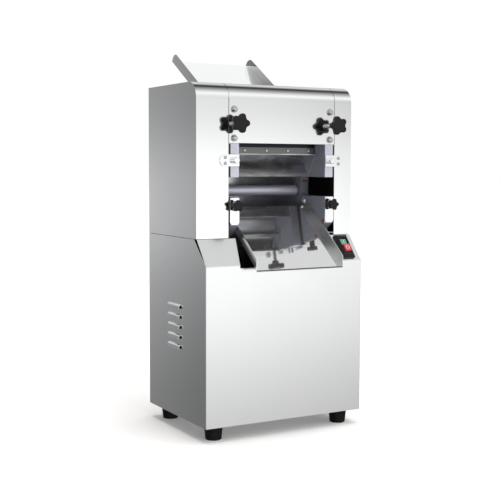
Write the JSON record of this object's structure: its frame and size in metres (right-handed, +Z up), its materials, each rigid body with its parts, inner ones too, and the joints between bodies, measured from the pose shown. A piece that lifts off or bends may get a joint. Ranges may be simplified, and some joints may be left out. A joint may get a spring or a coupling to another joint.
{
  "type": "noodle machine",
  "caption": "Floor-standing electric dough press with a sloped chute on top, polished press rollers, star knobs for the gap, cutter posts, clamp straps and a sloped outfeed tray.",
  "frame": {"origin": "on the floor under the middle of the bounding box", "axes": "+Z up, -Y towards the front with the tray and the knobs, +X to the operator's right when facing the front"},
  "size_m": [0.515, 0.5466, 1.0846],
  "materials": {
    "bright_steel": "brushed stainless sheet with a fine grain",
    "mirror_steel": "mirror-polished stainless sheet",
    "wall_iron": "machined cast plate with a grey-violet sheen, pale where it is milled",
    "roller_steel": "ground and polished steel",
    "machined_steel": "machined mild steel",
    "frame_paint": "satin black paint on steel section",
    "gear_steel": "cut gear steel, lightly oiled",
    "bronze": "bearing bronze",
    "cast_pulley": "grey cast iron",
    "belt_rubber": "black rubber V-belt",
    "foot_rubber": "black moulded rubber",
    "motor_paint": "blue-grey hammered paint",
    "fastener_steel": "bright zinc-plated steel",
    "knob_plastic": "black satin moulded plastic",
    "switch_plastic": "black moulded switch housing",
    "green_plastic": "translucent green button cap",
    "red_plastic": "red button cap",
    "gland_plastic": "black nylon"
  },
  "bodies": {
    "machine_frame": {"base_frame": "frame_paint", "rubber_feet": "foot_rubber", "hex_bolts": "fastener_steel", "lower_front_panel": "bright_steel", "lower_left_panel": "bright_steel", "lower_right_panel": "bright_steel", "lower_rear_panel": "bright_steel", "floor_plate": "bright_steel", "upper_left_cover": "bright_steel", "upper_right_cover": "bright_steel", "upper_centre_cover": "bright_steel", "upper_rear_cover": "bright_steel", "infeed_chute": "bright_steel", "left_wall_plate": "wall_iron", "right_wall_plate": "wall_iron", "wall_tie_bars": "machined_steel", "bronze_bushes": "bronze", "slide_caps": "machined_steel", "cap_bolts": "fastener_steel", "rear_scraper_bar": "mirror_steel", "rear_scraper_blade": "mirror_steel", "pan_head_screws": "fastener_steel", "cutter_lugs": "mirror_steel", "countershaft_bracket": "cast_pulley", "motor_housing": "motor_paint", "motor_fan_cowl": "motor_paint", "motor_terminal_box": "motor_paint", "motor_plate": "frame_paint", "drive_belt": "belt_rubber", "switch_housing": "switch_plastic", "cable_gland": "gland_plastic", "tray_rest": "bright_steel"},
    "front_carriage": {"front_bearing_blocks": "machined_steel", "front_roller_bushes": "bronze", "front_cheek_plates": "wall_iron", "front_scraper_bar": "mirror_steel", "front_scraper_blade": "mirror_steel", "front_scraper_screws": "fastener_steel", "dough_guide_plate": "mirror_steel"},
    "front_press_roller": {"front_roller": "roller_steel", "front_roller_gear": "gear_steel"},
    "rear_press_roller": {"rear_roller": "roller_steel", "rear_roller_gear": "gear_steel", "rear_drive_gear": "gear_steel"},
    "countershaft": {"pinion_shaft": "gear_steel", "large_pulley": "cast_pulley"},
    "motor_rotor": {"motor_shaft": "machined_steel", "motor_pulley": "cast_pulley"},
    "dough_transfer_roller": {"transfer_roller": "roller_steel"},
    "left_gap_adjuster": {"left_gap_knob": "knob_plastic", "left_gap_screw": "fastener_steel"},
    "right_gap_adjuster": {"right_gap_knob": "knob_plastic", "right_gap_screw": "fastener_steel"},
    "left_clamp": {"left_clamp_knob": "knob_plastic"},
    "right_clamp": {"right_clamp_knob": "knob_plastic"},
    "left_strap": {"left_clamp_strap": "mirror_steel"},
    "right_strap": {"right_clamp_strap": "mirror_steel"},
    "tray": {"outfeed_tray": "mirror_steel"},
    "start": {"start_button": "green_plastic"},
    "stop": {"stop_button": "red_plastic"}
  },
  "joints": [
    {"name": "rear_roller_spin", "type": "hinge", "parent": "machine_frame", "child": "rear_press_roller", "pos_m": [0.0205, 0.02387, 0.859], "axis": [1, 0, 0], "continuous": true},
    {"name": "roller_gap_slide", "type": "slide", "parent": "machine_frame", "child": "front_carriage", "axis": [0, -1, 0], "range_m": [0, 0.005]},
    {"name": "front_roller_spin", "type": "hinge", "parent": "front_carriage", "child": "front_press_roller", "pos_m": [0.0205, -0.09213, 0.859], "axis": [1, 0, 0], "continuous": true},
    {"name": "countershaft_spin", "type": "hinge", "parent": "machine_frame", "child": "countershaft", "pos_m": [-0.182, -0.04582, 0.75947], "axis": [1, 0, 0], "continuous": true},
    {"name": "motor_spin", "type": "hinge", "parent": "machine_frame", "child": "motor_rotor", "pos_m": [-0.04, -0.03213, 0.1795], "axis": [1, 0, 0], "continuous": true},
    {"name": "transfer_roller_spin", "type": "hinge", "parent": "machine_frame", "child": "dough_transfer_roller", "pos_m": [0.0205, -0.02114, 0.674], "axis": [1, 0, 0], "continuous": true},
    {"name": "left_gap_knob_turn", "type": "hinge", "parent": "front_carriage", "child": "left_gap_adjuster", "pos_m": [-0.135, -0.17214, 0.859], "axis": [0, -1, 0], "range_deg": [0, 1029]},
    {"name": "right_gap_knob_turn", "type": "hinge", "parent": "front_carriage", "child": "right_gap_adjuster", "pos_m": [0.176, -0.17214, 0.859], "axis": [0, -1, 0], "range_deg": [0, 1029]},
    {"name": "left_clamp_knob_turn", "type": "hinge", "parent": "machine_frame", "child": "left_clamp", "pos_m": [-0.135, -0.18213, 0.636], "axis": [0, -1, 0], "range_deg": [0, 720]},
    {"name": "right_clamp_knob_turn", "type": "hinge", "parent": "machine_frame", "child": "right_clamp", "pos_m": [0.176, -0.18213, 0.636], "axis": [0, -1, 0], "range_deg": [0, 720]},
    {"name": "left_strap_slide", "type": "slide", "parent": "machine_frame", "child": "left_strap", "axis": [0, 0, 1], "range_m": [-0.009, 0.009]},
    {"name": "right_strap_slide", "type": "slide", "parent": "machine_frame", "child": "right_strap", "axis": [0, 0, 1], "range_m": [-0.009, 0.009]},
    {"name": "outfeed_tray_tilt", "type": "hinge", "parent": "machine_frame", "child": "tray", "pos_m": [0.0205, -0.06714, 0.643], "axis": [-1, 0, 0], "range_deg": [0, 20]},
    {"name": "start_button_press", "type": "slide", "parent": "machine_frame", "child": "start", "axis": [0, 0.7754, -0.6314], "range_m": [0, 0.0035], "stiffness_N_per_m": 300, "springref_m": -0.002},
    {"name": "stop_button_press", "type": "slide", "parent": "machine_frame", "child": "stop", "axis": [0, 0.7754, -0.6314], "range_m": [0, 0.0035], "stiffness_N_per_m": 300, "springref_m": -0.002}
  ],
  "couplings": [
    {"joint": "front_roller_spin", "follows": "rear_roller_spin", "ratio": -1},
    {"joint": "countershaft_spin", "follows": "rear_roller_spin", "ratio": -4.4},
    {"joint": "motor_spin", "follows": "rear_roller_spin", "ratio": -14.745},
    {"joint": "left_gap_knob_turn", "follows": "roller_gap_slide", "rad_per_m": 3590.4},
    {"joint": "right_gap_knob_turn", "follows": "roller_gap_slide", "rad_per_m": 3590.4}
  ]
}
